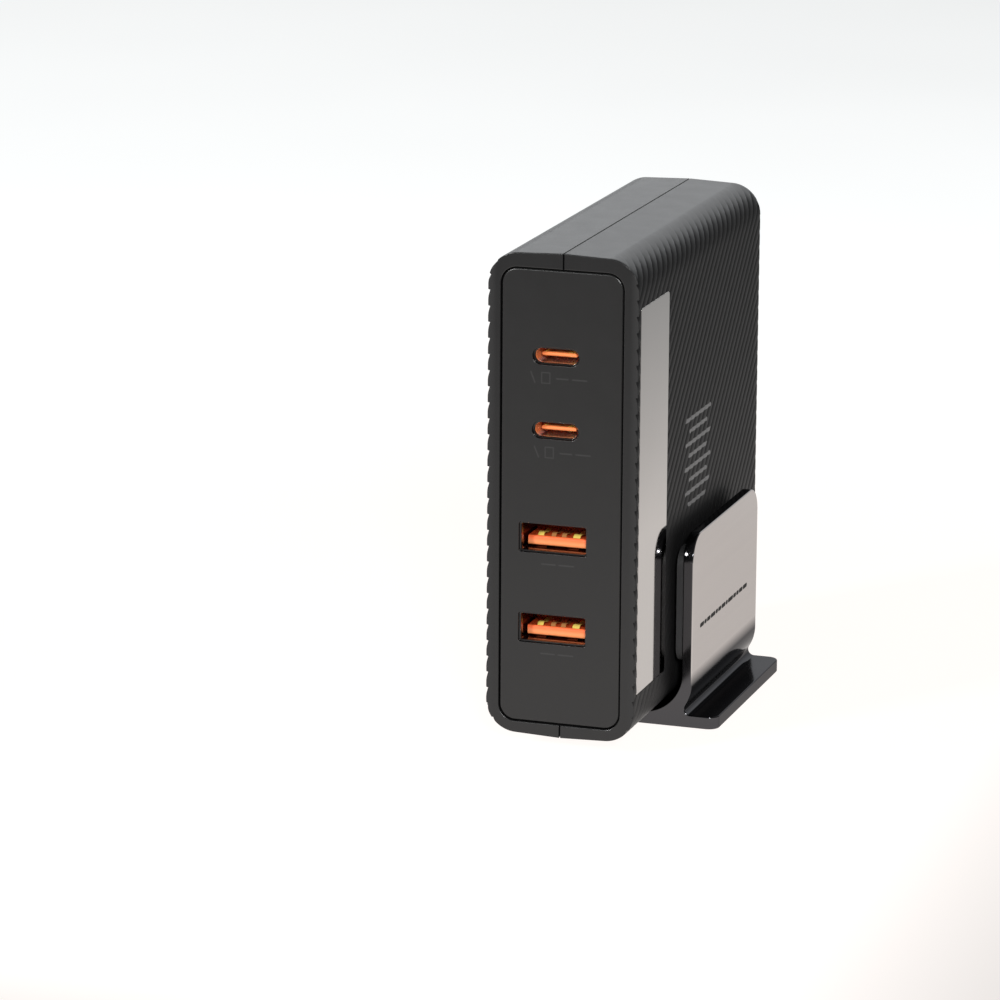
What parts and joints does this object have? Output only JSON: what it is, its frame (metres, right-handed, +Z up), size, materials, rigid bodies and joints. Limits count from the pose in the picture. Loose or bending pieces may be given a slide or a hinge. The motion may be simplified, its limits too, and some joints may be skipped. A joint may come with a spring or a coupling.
{
  "type": "desktop charger",
  "caption": "Upright desktop charger with ribbed sides, oval and rectangular power sockets in its front, a bright side strip and an aluminium stand.",
  "frame": {"origin": "on the table, under the seam between the half shells, half way between the bezel and the back", "axes": "+Z up, the sockets face -Y, +X towards the stand's upright"},
  "size_m": [0.0467, 0.081, 0.0952],
  "materials": {
    "shell": "fine satin texture",
    "panel": "fine satin texture",
    "strip": "polished",
    "stand": "bead blasted, anodised grey",
    "pad": "matt",
    "foot_pad": "matt",
    "dark_shell": "dark plated",
    "socket_shell": "plated",
    "orange": "moulded",
    "gold": "gold plated",
    "inlet": "moulded",
    "pins": "nickel plated",
    "leads": "insulated",
    "board": "solder mask",
    "chip": "moulded",
    "sheet": "film",
    "green_disc": "dipped",
    "blue_disc": "dipped",
    "yellow_box": "moulded",
    "ferrite": "sintered",
    "copper": "enamelled wire",
    "can_sleeve": "sleeved can",
    "can": "drawn can",
    "tape": "winding tape",
    "white_part": "moulded",
    "spreader": "sheet",
    "thermal": "soft pad"
  },
  "bodies": {
    "root": {"left_shell": "shell", "right_shell": "shell", "front_panel": "panel", "back_panel": "panel", "side_strip": "strip", "stand": "stand", "upright_pad": "pad", "underside_pad": "foot_pad", "usb_c_upper_shell": "dark_shell", "usb_c_upper_tongue": "orange", "usb_c_upper_contacts": "gold", "usb_c_lower_shell": "dark_shell", "usb_c_lower_tongue": "orange", "usb_c_lower_contacts": "gold", "usb_a_upper_shell": "socket_shell", "usb_a_upper_insulator": "orange", "usb_a_upper_contacts": "gold", "usb_a_lower_shell": "socket_shell", "usb_a_lower_insulator": "orange", "usb_a_lower_contacts": "gold", "inlet_housing": "inlet", "inlet_pins": "pins", "inlet_leads": "leads", "main_board": "board", "socket_board": "board", "board_header": "chip", "insulation_sheet": "sheet", "fuse": "chip", "thermistor": "green_disc", "varistor": "blue_disc", "line_capacitor": "yellow_box", "line_choke_core": "ferrite", "line_choke_winding": "copper", "bridge_rectifier": "chip", "boost_choke_core": "ferrite", "boost_choke_winding": "copper", "bulk_capacitors": "can_sleeve", "power_switches": "chip", "transformer_core": "ferrite", "transformer_winding": "tape", "safety_capacitor": "blue_disc", "optocoupler": "white_part", "rectifier_switches": "chip", "output_capacitors": "can", "output_chokes": "ferrite", "port_controllers": "chip", "heat_spreader": "spreader", "thermal_pad": "thermal"}
  },
  "joints": []
}
